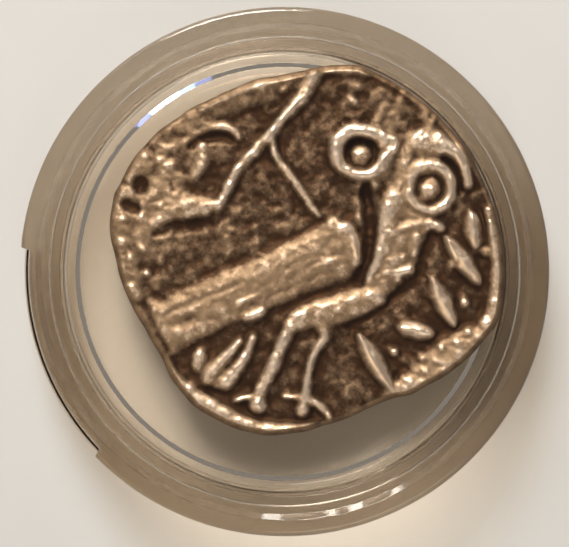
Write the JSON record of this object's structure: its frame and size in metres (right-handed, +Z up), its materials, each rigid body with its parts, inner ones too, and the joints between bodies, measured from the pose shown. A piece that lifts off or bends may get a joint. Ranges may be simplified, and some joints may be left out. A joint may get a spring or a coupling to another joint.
{
  "type": "coin in a clear capsule",
  "caption": "Struck silver-coloured coin with an owl in relief, loose in a round clear two-piece capsule whose lid pulls straight off.",
  "frame": {"origin": "middle of the capsule's underside, on the plane the foot ring stands on", "axes": "+Z up through the window, +Y towards the top of the owl's head, +X to the owl's right-hand side as seen from above"},
  "size_m": [0.033, 0.033, 0.006],
  "materials": {
    "clear_acrylic": "clear moulded acrylic, polished, with fine handling scratches",
    "antiqued_silver": "cast and struck silver-coloured metal, darkened in the recesses and worn bright on the high points"
  },
  "bodies": {
    "base": {"capsule_base": "clear_acrylic"},
    "lid": {"capsule_lid": "clear_acrylic"},
    "coin": {"coin": "antiqued_silver"}
  },
  "joints": [
    {"name": "lid_lift", "type": "slide", "parent": "base", "child": "lid", "axis": [0, 0, 1], "range_m": [0, 0.03]},
    {"name": "coin_lift", "type": "slide", "parent": "base", "child": "coin", "axis": [0, 0, 1], "range_m": [0, 0.015]}
  ],
  "couplings": [
    {"joint": "coin_lift", "follows": "lid_lift", "ratio": 0.5}
  ]
}
